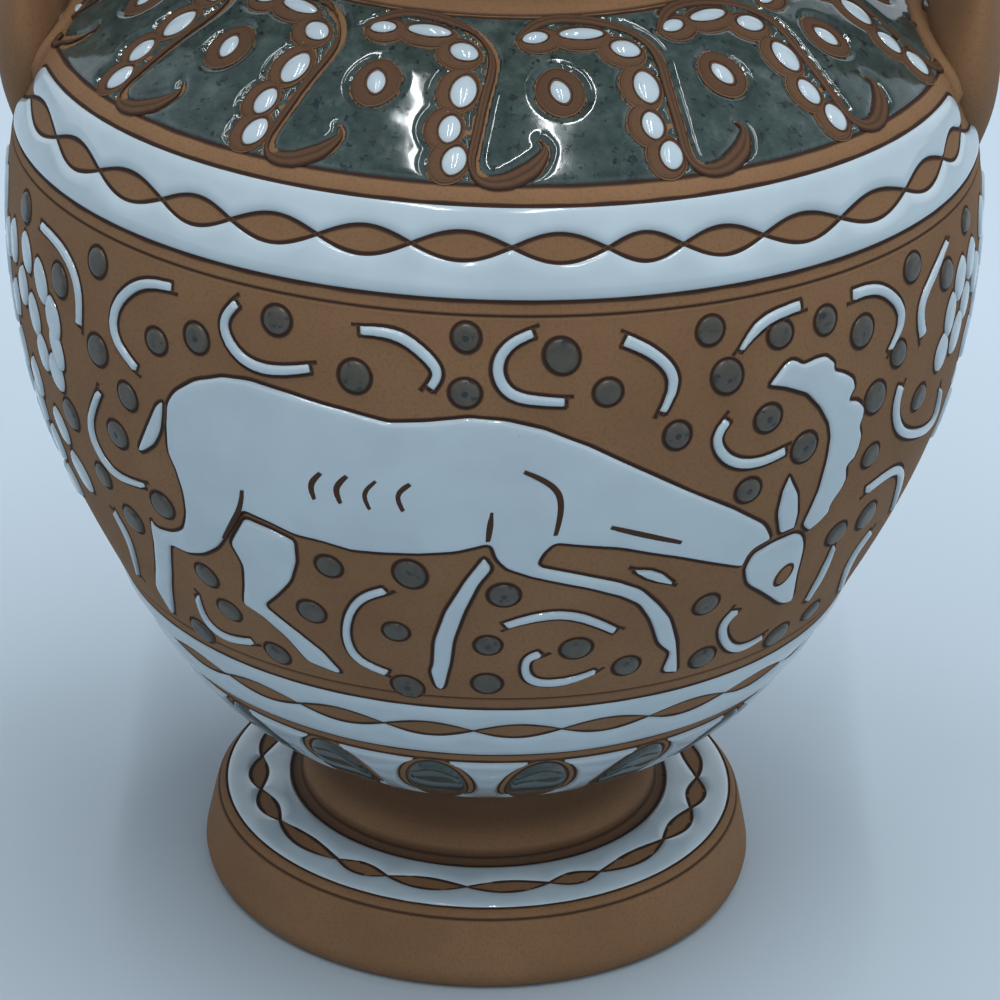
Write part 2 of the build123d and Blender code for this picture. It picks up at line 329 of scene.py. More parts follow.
def local(centre, offsets):
    """Azimuth and profile length of points given in millimetres along and up the body from a centre."""
    az, s = centre
    return np.stack([az + offsets[:, 0] / BODY.radius(s), s + offsets[:, 1]], -1)


def dome(bin_, outline, thickness=GLAZE, width=0.0, tone=0.0):
    """Pool of glaze over a convex outline; with no width it is domed right to its middle."""
    centre = outline.mean(0)
    r = BODY.radius(centre[1])
    span = np.hypot((outline[:, 0] - centre[0]) * r, outline[:, 1] - centre[1])
    rows = []
    for share in DOME_SHARES:
        ring = centre + (outline - centre) * share
        lift = edge_lift(span * (1 - share), width if width else span, thickness)
        rows.append(BODY.place(ring[:, 0], ring[:, 1], lift if share < 1 else EDGE_SINK))
    bin_.grid(np.array(rows)[:, ::-1], tone, wrap=True)
    bin_.faces.append(tuple(range(bin_.count - len(outline), bin_.count)))


def walked_sides(surface, path):
    """A path in millimetres on the unrolled surface, its direction and the direction to its left."""
    flat = np.stack([path[:, 0] * surface.radius(path[:, 1]), path[:, 1]], -1)
    tangent = np.gradient(flat, axis=0)
    tangent /= np.maximum(np.linalg.norm(tangent, axis=1), TINY)[:, None]
    return flat, tangent, np.stack([-tangent[:, 1], tangent[:, 0]], -1)


def sweep(bin_, surface, path, side, offset, lift, tone):
    """Surface along a path, by its offsets to the side, its lifts and its tones."""
    az = path[:, :1] + offset * side[:, :1] / surface.radius(path[:, 1:])
    s = path[:, 1:] + offset * side[:, 1:]
    tone = np.broadcast_to(tone, offset.shape)
    bin_.grid(surface.place(az, s, lift).transpose(1, 0, 2)[::-1], tone.T[::-1])


def ribbon(bin_, path, half_widths, lift_of, tone_of=None, across=9, round_ends=True):
    """Strip along a path on the body; lift and tone go by the share across it, -1 to 1."""
    flat, _, side = walked_sides(BODY, path)
    share = np.sin(np.linspace(-math.pi / 2, math.pi / 2, across))
    offset = share * np.broadcast_to(half_widths, len(path))[:, None]
    lift = np.broadcast_to(lift_of(share), offset.shape).copy()
    if round_ends:
        walked = lengths(flat)
        lift *= edge_lift(np.minimum(walked, walked[-1] - walked), width=0.35, thickness=1.0)[:, None]
        lift[[0, -1]] = EDGE_SINK
    sweep(bin_, BODY, path, side, offset, lift, tone_of(share) if tone_of else 0.0)


def line(bin_, path, width=LINE_WIDTH, closed=True, lift=LINE_LIFT, surface=BODY):
    """Incised line: a dark furrow with a thin burr of clay along each side."""
    if closed:
        path = np.concatenate([path, path[:2]])
    flat, _, side = walked_sides(surface, path)
    wander = 1 + LINE_WANDER * ripple(np.arange(len(flat)), flat[:, 0], seed=2.0, pace=(0.23, 0.3))
    offset = LINE_SHARES * (width * LINE_REACH * wander)[:, None]
    sweep(bin_, surface, path, side, offset, LINE_HEIGHTS + lift, LINE_TONES)


def ring_line(bin_, s):
    """Incised line round the body at a length along its profile."""
    line(bin_, np.stack([FINE_TURN, np.full_like(FINE_TURN, s)], -1))


def joined(az, closed):
    """Share of a ripple that stays: it fades out where a closed band meets itself."""
    return 1 - np.cos(az / 2) ** SEAM_POWER if closed else np.ones_like(az)


def strip(bin_, surface, az, low, high, closed, seed):
    """Band of glaze round the flask between two edges given at each azimuth."""
    room = np.maximum(high - low, STRIP_LEAST)
    edge = np.minimum(STRIP_EDGE, room * STRIP_EDGE_SHARE)
    crest = GLAZE * np.sqrt(edge / STRIP_EDGE)
    rounding = [edge_lift(edge * step, edge, crest) for step in STRIP_EDGE_STEPS]
    rows = [low + edge * step for step in STRIP_EDGE_STEPS]
    rows += [low + edge + (room - 2 * edge) * share for share in STRIP_MIDDLE]
    rows += [high - edge * step for step in STRIP_EDGE_STEPS[::-1]]
    s = np.array(rows)
    lift = np.array(rounding + [crest] * len(STRIP_MIDDLE) + rounding[::-1])
    lift *= 1 + STRIP_RIPPLE * joined(az, closed) * ripple(s, az, seed, pace=(0.9, 14))
    lift[[0, -1]] = EDGE_SINK
    bin_.grid(surface.place(az, s, lift), wrap=closed)


def within(points, loop):
    """Which points lie inside a closed loop."""
    x, y = points[:, 0][:, None], points[:, 1][:, None]
    x0, y0 = loop[:, 0], loop[:, 1]
    x1, y1 = np.roll(x0, -1), np.roll(y0, -1)
    crossing = ((y0 > y) != (y1 > y))
    rise = np.where(y1 == y0, TINY, y1 - y0)
    cut = x0 + (y - y0) * (x1 - x0) / rise
    return (np.sum(crossing & (x < cut), axis=1) % 2) == 1


def inward(flat):
    """Directions of length 1 into a closed loop from each of its points."""
    ahead, behind = np.roll(flat, -1, 0), np.roll(flat, 1, 0)
    area = np.sum(flat[:, 0] * ahead[:, 1] - ahead[:, 0] * flat[:, 1])
    tangent = (ahead - behind) / np.maximum(np.linalg.norm(ahead - behind, axis=1), TINY)[:, None]
    return np.stack([-tangent[:, 1], tangent[:, 0]], -1) * np.sign(area)


def tree_of(points):
    """Search tree that finds the nearest of these points."""
    tree = KDTree(len(points))
    for i, point in enumerate(points):
        tree.insert(tuple(point), i)
    tree.balance()
    return tree


def evenly(outline, step):
    """Closed outline on the body walked at even steps, and its scale to millimetres."""
    scale = np.array([BODY.radius(np.mean(outline[:, 1])), 1])
    return by_length(np.concatenate([outline, outline[:1]]) * scale, step)[:-1] / scale, scale


def cell(bin_, outline, width=GLAZE_EDGE, seed=1.0):
    """Pool of glaze over any simple outline on the body, rounded at its edge."""
    walk, scale = evenly(outline, CELL_STEP)
    flat = walk * scale
    tree = tree_of([(x, y, 0) for x, y in flat])

    def clearance(points):
        return np.array([tree.find((x, y, 0))[2] for x, y in points])

    low, high = flat.min(0), flat.max(0)
    gx, gy = np.meshgrid(np.arange(low[0], high[0], CELL_GRID), np.arange(low[1], high[1], CELL_GRID))
    groups = [(flat + inward(flat) * d, d * RING_CLEARANCE) for d in CELL_RINGS]
    groups.append((np.stack([gx.ravel(), gy.ravel()], -1), GRID_CLEARANCE))
    points = [flat]
    for group, least in groups:
        points.append(group[(clearance(group) >= least) & within(group, flat)])
    points = [tuple(p) for p in np.concatenate(points)]
    ring = [(i, (i + 1) % len(flat)) for i in range(len(flat))]
    out, _, tris, *_ = delaunay_2d_cdt(points, ring, [], ALL_TRIANGLES, MERGE_WITHIN)
    out = np.array([tuple(p) for p in out])
    tris = np.array([t for t in tris if len(t) == 3])
    tris = tris[within(out[tris].mean(1), flat)]
    depth = clearance(out)
    lift = edge_lift(depth, width, GLAZE) * (1 + CELL_RIPPLE * ripple(*out.T, seed, pace=(0.5, 0.5)))
    lift = np.where(depth < CELL_RIM, EDGE_SINK, lift)
    bin_.add(BODY.place(out[:, 0] / scale[0], out[:, 1], lift), tris.tolist())


def oval(width, height, point=0.0, count=36):
    """Oval outline in millimetres; point from 0, round, to 1, almond with sharp ends."""
    t = np.linspace(0, TURN, count, endpoint=False)
    pinch = np.abs(np.cos(t)) ** (1 + point)
    return np.stack([np.sign(np.cos(t)) * pinch * width / 2, np.sin(t) * height / 2], -1)


def tilted(outline, degrees):
    """Outline turned in its own plane."""
    a = math.radians(degrees)
    return outline @ np.array([[math.cos(a), math.sin(a)], [-math.sin(a), math.cos(a)]])


def oval_at(centre, width, height, turn=0.0, point=0.0, count=36):
    """Oval outline laid on the body."""
    return local(centre, tilted(oval(width, height, point, count), turn))


# Materials: noises are (scale, detail, roughness), bumps are (strength, distance in metres)
LINE_DARK = (0.030, 0.013, 0.008, 1)
SPECK = (0.012, 0.018, 0.022, 1)
CLAY_LOOK = dict(
    colours=[(0.178, 0.092, 0.043, 1), (0.215, 0.116, 0.056, 1)],
    clouds=(45, 3, 0.6), clouds_at=(0.3, 0.68),
    spot=(0.125, 0.065, 0.034, 1), spots=(2600, 2, 0.7), spots_at=(0.30, 0.5), spots_share=(0.55, 0),
    incised=LINE_DARK, waves=(1900, 3, 0.7), bump=(0.35, 0.00012),
    sockets={"Roughness": 0.82, "Specular IOR Level": 0.28})
WHITE_LOOK = dict(
    colours=[(0.375, 0.45, 0.495, 1), (0.415, 0.495, 0.54, 1)],
    clouds=(90, 3, 0.6), clouds_at=(0.32, 0.62),
    spot=(0.27, 0.28, 0.28, 1), spots=(900, 2, 0.5), spots_at=(0.17, 0.24), spots_share=(0.5, 0),
    incised=LINE_DARK, waves=(260, 2, 0.4), bump=(0.12, 0.0004),
    sockets={"Roughness": 0.13, "Coat Weight": 0.5, "Coat Roughness": 0.08})
GREEN_LOOK = dict(
    colours=[(0.018, 0.030, 0.028, 1), (0.033, 0.052, 0.048, 1), (0.070, 0.094, 0.087, 1)],
    clouds=(300, 5, 0.68), clouds_at=(0.32, 0.52, 0.74),
    spot=SPECK, spots=(800, 3, 0.6), spots_at=(0.585, 0.66), spots_share=(0, 1),
    incised=SPECK, waves=(330, 2, 0.4), bump=(0.07, 0.0006),
    sockets={"Roughness": 0.10, "Coat Weight": 0.3, "Coat Roughness": 0.06})
THIN_GREEN_LOOK = GREEN_LOOK | dict(
    colours=[(0.040, 0.035, 0.025, 1), (0.058, 0.051, 0.038, 1), (0.078, 0.070, 0.052, 1)],
    sockets={"Roughness": 0.35})


class Look:
    """Node tree of a material or a world, with a short call for each kind of node used here."""

    def __init__(self, owner):
        owner.use_nodes = True
        self.nodes, self.links = owner.node_tree.nodes, owner.node_tree.links

    def add(self, kind, inputs=(), **settings):
        """New node with its inputs set to values, or linked where the value is a socket."""
        node = self.nodes.new("ShaderNode" + kind)
        for key, value in settings.items():
            setattr(node, key, value)
        for key, value in inputs:
            if isinstance(value, bpy.types.NodeSocket):
                self.links.new(value, node.inputs[key])
            else:
                node.inputs[key].default_value = value
        return node

    def noise(self, place, scale, detail, rough):
        inputs = [("Vector", place), ("Scale", scale), ("Detail", detail), ("Roughness", rough)]
        return self.add("TexNoise", inputs).outputs["Fac"]

    def ramp(self, fac, places, colours):
        node = self.add("ValToRGB", [("Fac", fac)])
        stops = list(zip(places, colours))
        for element, stop in zip(node.color_ramp.elements, (stops[0], stops[-1])):
            element.position, element.color = stop
        for place, colour in stops[1:-1]:
            node.color_ramp.elements.new(place).color = colour
        return node.outputs["Color"]

    def mix(self, fac, a, b):
        return self.add("Mix", [(0, fac), (6, a), (7, b)], data_type="RGBA").outputs[2]

    def fade(self, place, axis, limits, a, b):
        """Colour that goes from one to the other between two limits along an axis."""
        part = self.add("SeparateXYZ", [(0, place)]).outputs[axis]
        inputs = [("Value", part), ("From Min", limits[0]), ("From Max", limits[1])]
        return self.mix(self.add("MapRange", inputs).outputs["Result"], a, b)


def shader(name, sockets):
    """New material with its node tree and its shader node."""
    material = bpy.data.materials.new(name)
    look = Look(material)
    bsdf = look.nodes["Principled BSDF"]
    for key, value in sockets.items():
        bsdf.inputs[key].default_value = value
    return material, look, bsdf


def ware(name, colours, clouds, clouds_at, spot, spots, spots_at, spots_share, incised, waves, bump, sockets):
    """Material of clouds between colours, with spots, the colour of incised lines (also painted shade on the
    foot) and a fine bump.
    """
    material, look, bsdf = shader(name, sockets)
    tone = look.add("Attribute", attribute_name="tone").outputs["Fac"]
    place = look.add("TexCoord").outputs["Object"]
    ground = look.ramp(look.noise(place, *clouds), clouds_at, colours)
    shares = [(share, share, share, 1) for share in spots_share]
    spotted = look.mix(look.ramp(look.noise(place, *spots), spots_at, shares), ground, spot)
    look.links.new(look.mix(tone, spotted, incised), bsdf.inputs["Base Color"])
    relief = [("Height", look.noise(place, *waves)), ("Strength", bump[0]), ("Distance", bump[1])]
    look.links.new(look.add("Bump", relief).outputs["Normal"], bsdf.inputs["Normal"])
    return material


# Each look is a material and the name of a slot of the frame
CLAY = (ware("red_clay", **CLAY_LOOK), "red_clay")
WHITE = (ware("white_glaze", **WHITE_LOOK), "white_glaze")
GREEN = (ware("green_glaze", **GREEN_LOOK), "green_glaze")
GREY = (ware("thin_green_glaze", **THIN_GREEN_LOOK), "green_glaze")

# Clay sections, with furrows turned into them
TURN_POINTS = 360
ROUND = np.linspace(0, TURN, TURN_POINTS, endpoint=False)
FINE_TURN = np.linspace(0, TURN, 1400, endpoint=False)
PROFILE_WALK = 0.9
GROOVE_STEPS = np.array([-0.55, -0.4, -0.26, -0.13, 0, 0.13, 0.26, 0.4, 0.55])
GROOVE_DEPTH, GROOVE_WIDTH = 0.26, 0.17
GROOVE_TONE_WIDTH = 0.2
BURR_RISE, BURR_PLACE, BURR_WIDTH = 0.05, 0.4, 0.12
BODY_LINE_HEIGHTS = [53.9, 113.7, 142.1]
NECK_LINE_LENGTHS = [3.0, 4.6]
RIM_LINE_POINT = (38.0, 10.7)
COLLAR_LINE_POINT = (25.7, 13.4)
# Painted shade: the clay is darkened towards red-brown at the top of the stem, under the body, and round the
# foot of the collar, where shade falls
PAINTED_SHADE_HEIGHTS = (15.0, 18.5)
PAINTED_SHADE_RADII = (25.6, 27.6)
PAINTED_SHADE_FLOOR = 12.0
PAINTED_SHADE_TONE = 0.58


def revolve(profile, tone):
    """Turned solid of a profile that starts and ends on the axis or closes on itself."""
    bin_ = Bin()
    r, z = profile.T
    points = [np.outer(r, np.cos(ROUND)), np.outer(r, np.sin(ROUND)), np.repeat(z[:, None], TURN_POINTS, 1)]
    bin_.grid(np.stack(points, -1), tone[:, None], wrap=True)
    return bin_


def furrowed(profile, at):
    """Profile with furrows turned into it at these lengths along it, and their dark tone."""
    surface = Turned(profile)
    grooves = (np.array(at)[:, None] + GROOVE_STEPS).ravel()
    s = np.unique(np.concatenate([np.arange(0, surface.s[-1], PROFILE_WALK), surface.s[-1:], grooves]))
    lift, tone = np.zeros_like(s), np.zeros_like(s)
    for groove in at:
        lift -= GROOVE_DEPTH * bell(s - groove, GROOVE_WIDTH)
        lift += BURR_RISE * bell(np.abs(s - groove) - BURR_PLACE, BURR_WIDTH)
        tone += bell(s - groove, GROOVE_TONE_WIDTH)
    r, z = surface.lifted(s, lift)
    return np.stack([np.maximum(r, 0), z], -1), np.clip(tone, 0, 1)


outer, outer_tone = furrowed(BODY_PROFILE, [BODY.at_height(z) for z in BODY_LINE_HEIGHTS])
inner = np.concatenate([[CAVITY_TOP], smooth_through(CAVITY_POINTS, per_span=10)[::-1]])
loop = np.concatenate([[(0, BODY_POINTS[0][1])], outer, [(CAVITY_TOP[0], NECK_ROOT[1])], inner])
make("body_clay", revolve(loop, np.pad(outer_tone, (1, 1 + len(inner)))), CLAY, "body")

lip = arc_between(NECK_POINTS[-1], (NECK_POINTS[-1][0], LIP_TOP), rise=-1.6, count=12)
neck_profile = np.concatenate([smooth_through(NECK_POINTS, per_span=20), lip[1:]])
outside, outside_tone = furrowed(neck_profile, NECK_LINE_LENGTHS)
bore = smooth_through(BORE_POINTS, per_span=16)[::-1]
loop = np.concatenate([outside, bore, outside[:1]])
make("neck_clay", revolve(loop, np.pad(outside_tone, (0, len(bore) + 1))), CLAY, "neck")

foot_profile = round_corners(FOOT_POINTS, radius=1.1)
foot_at = [Turned(foot_profile).near(point) for point in (RIM_LINE_POINT, COLLAR_LINE_POINT)]
turned_foot, foot_tone = furrowed(foot_profile, foot_at)
foot_r, foot_z = turned_foot.T
# Painted shade under the body and round the collar, mixed into the tone of the incised lines
painted_shade_under_body = np.clip((foot_z - PAINTED_SHADE_HEIGHTS[0]) / (PAINTED_SHADE_HEIGHTS[1] - PAINTED_SHADE_HEIGHTS[0]), 0, 1)
painted_shade_round_collar = (foot_r > PAINTED_SHADE_RADII[0]) & (foot_r < PAINTED_SHADE_RADII[1]) & (foot_z > PAINTED_SHADE_FLOOR)
foot_tone = np.maximum(foot_tone, PAINTED_SHADE_TONE * np.maximum(painted_shade_under_body, painted_shade_round_collar))
make("foot_clay", revolve(turned_foot, foot_tone), CLAY, "foot")

# Handles: flat oval straps on V-shaped roots, whose sections are (height, middle, thickness, width)
HANDLE_LINE = 63.2
ROOT_SECTIONS = [(113.0, 61.8, 7.4, 9.0), (126.0, 61.75, 11.0, 28.0), (139.0, HANDLE_LINE, 5.6, 22.0)]
STRAP_FIRST, STRAP_STEP = 2.0, 2.5
ARCH_HEIGHT = 164.0
ARCH_RADIUS = 20.0
ARCH_TURN = 104.0
SEAT_STEPS = np.linspace(2.0, 10.4, 5)
DISH_DEPTH, DISH_WIDTH = 0.45, 7.0
COIL_REACH = (6.4, 14.6)
COIL_ARC = np.radians(np.linspace(100, 260, 44))
COIL_RISE = 1.0
AROUND = np.linspace(0, TURN, 48, endpoint=False)


def root_coil(bin_, side):
    """Roll of clay along the inner side of a root, where it was smoothed onto the shoulder."""
    x = ROOT_SECTIONS[1][1] + COIL_REACH[0] * np.cos(COIL_ARC)
    y = COIL_REACH[1] * np.sin(COIL_ARC)
    widest = np.argmax(BODY.r)
    s = np.interp(-np.hypot(x, y), -BODY.r[widest:], BODY.s[widest:])
    path = np.stack([np.unwrap(np.arctan2(y, side * x)), s], -1)
    ribbon(bin_, path, half_widths=1.3, lift_of=lambda x: COIL_RISE * np.sqrt(1 - x ** 2), across=11)


def handle(name, side):
    """Oval strap that rises from its spread root and arches over to the neck."""
    across, along = np.cos(AROUND), np.sin(AROUND)
    root = smooth_through(ROOT_SECTIONS, per_span=14)
    sections = [(x, z, 0.0, thick / 2 * across, wide) for z, x, thick, wide in root]
    strap_start, _, thick, wide = ROOT_SECTIONS[-1]
    out = thick / 2 * across - DISH_DEPTH * bell(along * wide, DISH_WIDTH) * np.sign(across)
    for z in np.arange(strap_start + STRAP_FIRST, ARCH_HEIGHT, STRAP_STEP):
        sections.append((HANDLE_LINE, z, 0.0, out, wide))
    for turn in np.radians(np.linspace(0, ARCH_TURN, 30)):
        x = HANDLE_LINE - ARCH_RADIUS + ARCH_RADIUS * math.cos(turn)
        z = ARCH_HEIGHT + ARCH_RADIUS * math.sin(turn)
        sections.append((x, z, turn, out, wide))
    for step in SEAT_STEPS:
        sections.append((x - math.sin(turn) * step, z + math.cos(turn) * step, turn, out, wide))
    rings = []
    for x, z, turn, out, wide in sections:
        ring = [x + out * math.cos(turn), wide / 2 * along, z + out * math.sin(turn)]
        rings.append(np.stack(ring, -1))
    points = np.array(rings) * (side, 1, 1)
    bin_ = Bin()
    bin_.grid(points if side > 0 else points[:, ::-1], wrap=True)
    root_coil(bin_, side)
    make(name + "_clay", bin_, CLAY, name)


handle("handle_right", 1)
handle("handle_left", -1)

# White bands with a chain of clay lozenges between their strips: heights, or radii on the foot
UPPER_BAND = (115.7, 121.9, 126.3)
LOWER_BAND = (41.8, 47.1, 51.7)
FOOT_BAND = (27.5, 32.1, 36.7)
FOOT_LINKS = 19
UPPER_CROSSINGS_X = [32, 59, 102, 164, 232, 318, 411, 512, 608, 683, 762, 838, 902, 940, 959]
LOWER_CROSSINGS_PX = [(384, 721), (473, 729), (561, 728), (647, 717)]
FOOT_FIRST = -92
FOOT_SWAY = 0.05
SAG_LEAN = 0.3
CHAIN_DRIFT = 0.18
STRIP_GAP = LINE_WIDTH * 0.45
# The upper strips stop at the handle roots, the lower one nearer to their tips
UPPER_ENDS = ((-171, -8), (-165.5, -15))
UPPER_ARCS = [np.radians(np.linspace(first, last, 640)) for first, last in UPPER_ENDS]


def chain(crossings, azimuth):
    """Share of the lozenge's half height, 0 at each crossing."""
    crossings = np.sort(np.mod(crossings, TURN))
    a = np.mod(azimuth, TURN)
    ring = np.concatenate([crossings[-1:] - TURN, crossings, crossings[:1] + TURN])
    k = np.searchsorted(ring, a, "right") - 1
    share = (a - ring[k]) / (ring[k + 1] - ring[k])
    return np.sin(math.pi * share)


def filled_round(seen, count):
    """Azimuths all the way round: the seen ones, then the rest of the count at even steps."""
    seen = np.sort(seen)
    left = count - len(seen) + 1
    gap = seen[0] + TURN - seen[-1]
    return np.concatenate([seen, seen[-1] + gap * np.arange(1, left) / left])


def chain_band(lines, surface, stations, crossings, arcs, half, closed=True, sag=0.0):
    """Two strips of white glaze, each on its own arc, and the incised lines along them."""
    low, middle, high = stations
    strips = []
    for side, azimuth in zip((-1, 1), arcs):
        wave = chain(crossings, azimuth)
        drift = CHAIN_DRIFT * joined(azimuth, closed) * ripple(azimuth, azimuth, seed=3.0, pace=(3, 5))
        drift -= (sag + SAG_LEAN * sag * np.cos(azimuth)) * np.sin(2 * azimuth) ** 2
        crossed = middle + drift + side * half * wave
        inner = crossed + side * STRIP_GAP
        outer = np.full_like(azimuth, low if side < 0 else high)
        mid = (inner + outer) / 2
        from_end = np.minimum(azimuth - azimuth[0], azimuth[-1] - azimuth) * surface.radius(middle)
        left = 1.0 if closed else edge_lift(from_end, width=2.6, thickness=1.0)
        edges = mid + (outer - mid) * left, mid + (inner - mid) * left
        piece = Bin()
        strip(piece, surface, azimuth, np.minimum(*edges), np.maximum(*edges), closed, side * 2.0)
        strips.append(piece)
        rim = mid + (outer + side * STRIP_GAP - mid) * left
        for drawn_at in (crossed, rim):
            line(lines, np.stack([azimuth, drawn_at], -1), closed=closed, surface=surface)
    return strips


def make_band(band, halves, strips):
    """Make the two strips of a band."""
    for half, piece in zip(halves, strips):
        make(f"{band}_{half}_glaze", piece, WHITE, f"{band}_{half}_strip")


body_lines, foot_lines = Bin(), Bin()
upper_crossings = filled_round(ring_azimuths(UPPER_BAND[1], UPPER_CROSSINGS_X), count=34)
stations = [BODY.at_height(z) for z in UPPER_BAND]
upper_strips = Bin(), Bin()
for half_turn in (0, math.pi):
    arcs = [arc + half_turn for arc in UPPER_ARCS]
    strips = chain_band(
        body_lines, BODY, stations, upper_crossings, arcs, half=1.75, closed=False, sag=1.45)
    for total, part in zip(upper_strips, strips):
        total.take(part)
make_band("upper_band", ("lower", "upper"), upper_strips)

whole_turns = (FINE_TURN, FINE_TURN)
stations = [BODY.at_height(z) for z in LOWER_BAND]
lower_crossings = filled_round(on_body(LOWER_CROSSINGS_PX)[:, 0], count=25)
lower_strips = chain_band(body_lines, BODY, stations, lower_crossings, whole_turns, half=1.6)
make_band("lower_band", ("lower", "upper"), lower_strips)

stations = [np.interp(-r, -FOOT_TOP.r, FOOT_TOP.s) for r in FOOT_BAND[::-1]]
link = np.arange(FOOT_LINKS)
foot_crossings = np.radians(link * 360 / FOOT_LINKS + FOOT_FIRST) + FOOT_SWAY * sway(link, 2.3)
foot_strips = chain_band(foot_lines, FOOT_TOP, stations, foot_crossings, whole_turns, half=1.25)
make_band("foot_band", ("outer", "inner"), foot_strips)
make("foot_lines", foot_lines, CLAY)

# Frieze on the belly, in pixels of the photograph
GOAT_CELLS = {
    "torso": [
        (167, 401), (174, 390), (194, 379), (223, 375), (250, 379), (284, 390), (317, 401), (350, 410),
        (390, 421), (430, 420), (468, 416), (505, 419), (545, 428), (590, 445), (640, 468), (690, 490),
        (735, 508), (765, 523), (772, 537), (750, 550), (741, 567), (678, 557), (620, 548), (555, 543),
        (544, 553), (538, 565), (575, 572), (620, 581), (642, 588), (660, 604), (671, 617), (677, 640),
        (678, 671), (660, 672), (669, 652), (657, 644), (649, 620), (638, 604), (620, 596), (587, 588),
        (531, 577), (506, 569), (495, 559), (490, 544), (455, 552), (419, 554), (386, 553), (352, 550),
        (319, 540), (297, 535), (268, 521), (244, 510), (234, 525), (225, 540), (219, 548), (205, 554),
        (190, 553), (172, 544), (173, 570), (175, 606), (176, 616), (166, 600), (156, 582), (156, 562),
        (154, 539), (150, 515), (156, 526), (172, 531), (183, 528), (186, 512), (183, 490), (176, 468),
        (168, 450), (166, 423)],
    "foreleg": [
        (484, 555), (464, 580), (444, 611), (433, 640), (432, 664), (429, 670), (435, 687), (445, 689),
        (452, 662), (455, 640), (466, 611), (480, 584), (494, 568)],
    "hindleg": [
        (244, 516), (268, 526), (296, 540), (298, 562), (292, 582), (279, 595), (266, 605), (301, 633),
        (324, 651), (344, 673), (335, 671), (308, 660), (286, 635), (263, 615), (243, 602), (244, 582),
        (243, 564), (234, 548), (230, 541), (236, 530)],
    "tail": [
        (164, 399), (156, 403), (147, 425), (138, 448), (143, 453), (156, 445), (162, 432), (164, 414)],
    "head": [
        (743, 569), (752, 553), (772, 541), (795, 531), (803, 533), (804, 544), (797, 573), (793, 595),
        (788, 601), (778, 604), (762, 593), (745, 584)],
    "ear": [
        (778, 534), (776, 514), (781, 492), (789, 473), (798, 492), (798, 511), (794, 527)],
    "horn": [
        (801, 525), (817, 490), (826, 457), (829, 437), (827, 423), (819, 408), (806, 394), (784, 388),
        (767, 386), (784, 363), (791, 358), (797, 359), (803, 363), (815, 357), (826, 354), (835, 361),
        (834, 369), (844, 371), (853, 376), (855, 386), (848, 399), (858, 399), (864, 405), (863, 414),
        (859, 424), (861, 433), (858, 446), (853, 458), (846, 464), (846, 476), (841, 487), (830, 502),
        (828, 510), (816, 523), (806, 531)]}
GOAT_STROKES = [
    [(322, 471), (313, 482), (316, 497)], [(348, 474), (338, 486), (342, 501)],
    [(377, 479), (366, 492), (371, 507)], [(411, 482), (399, 493), (404, 509)],
    [(524, 470), (544, 479), (558, 492), (560, 510), (555, 533)], [(610, 525), (645, 533), (680, 540)],
    [(492, 510), (490, 525), (488, 539)], [(244, 488), (242, 504), (234, 521), (226, 536)]]
GOAT_EYE = (781, 572)
CRESCENTS = [
    [(42, 225), (60, 245), (78, 285), (80, 325)],
    [(172, 287), (140, 285), (118, 305), (115, 330), (137, 368)],
    [(237, 303), (226, 318), (232, 345), (255, 365), (310, 368)],
    [(360, 330), (395, 335), (425, 355), (437, 375), (430, 388)],
    [(533, 333), (510, 345), (498, 368), (507, 390), (535, 400), (565, 402)],
    [(625, 340), (655, 355), (672, 375), (662, 412)],
    [(100, 392), (92, 420), (100, 450), (120, 475), (145, 485)], [(740, 350), (760, 325), (800, 305)],
    [(852, 295), (880, 290), (898, 305), (888, 350)], [(946, 240), (930, 280), (920, 310), (922, 335)],
    [(727, 420), (717, 440), (727, 458), (750, 463), (785, 450)],
    [(900, 385), (895, 410), (903, 432), (918, 432), (939, 388)], [(865, 490), (898, 470), (890, 510)],
    [(385, 590), (360, 600), (347, 625), (352, 650), (388, 672)],
    [(505, 625), (535, 617), (570, 615), (615, 630)],
    [(540, 653), (527, 660), (527, 675), (545, 682), (595, 670)],
    [(735, 610), (722, 630), (728, 645), (762, 635)], [(198, 595), (205, 615), (225, 635), (253, 641)],
    [(115, 510), (130, 540), (140, 575)], [(635, 570), (653, 575), (672, 582)],
    [(833, 545), (820, 575), (805, 600)], [(870, 530), (850, 560), (838, 590)]]
DOTS = [
    (98, 262), (60, 280), (157, 341), (197, 338), (98, 350), (277, 320), (128, 396), (118, 434), (355, 376),
    (466, 337), (465, 393), (562, 356), (608, 392), (710, 330), (727, 376), (780, 334), (825, 320),
    (862, 331), (912, 267), (898, 353), (768, 418), (804, 447), (677, 435), (748, 490), (875, 397),
    (918, 397), (870, 455), (866, 515), (836, 533), (104, 475), (134, 519), (163, 505), (207, 575),
    (230, 610), (203, 630), (278, 653), (329, 566), (410, 574), (312, 611), (396, 631), (408, 686),
    (504, 595), (488, 645), (487, 683), (576, 648), (626, 665), (706, 604), (776, 634), (702, 657),
    (810, 610), (72, 414), (27, 207), (965, 220), (946, 274)]
PITTED = {3, 7, 9, 10, 20, 21, 22, 23, 40, 41, 42}
SOFT_CORNER, SHARP_CORNER = 5.0, 2.5
THIN_LINE = 0.46
STROKE_WIDTH, STROKE_SWELL, STROKE_TAPER = 0.2, 0.22, (0.4, 2.7)
STROKE_LIFT, STROKE_ROUND, STROKE_TONE = GLAZE + 0.06, 0.05, 0.9
OVERSHOOTS = (1.1, 0.3)
CRESCENT_HALF_WIDTH = 0.66
CRESCENT_FULL = (0.35, 0.65)
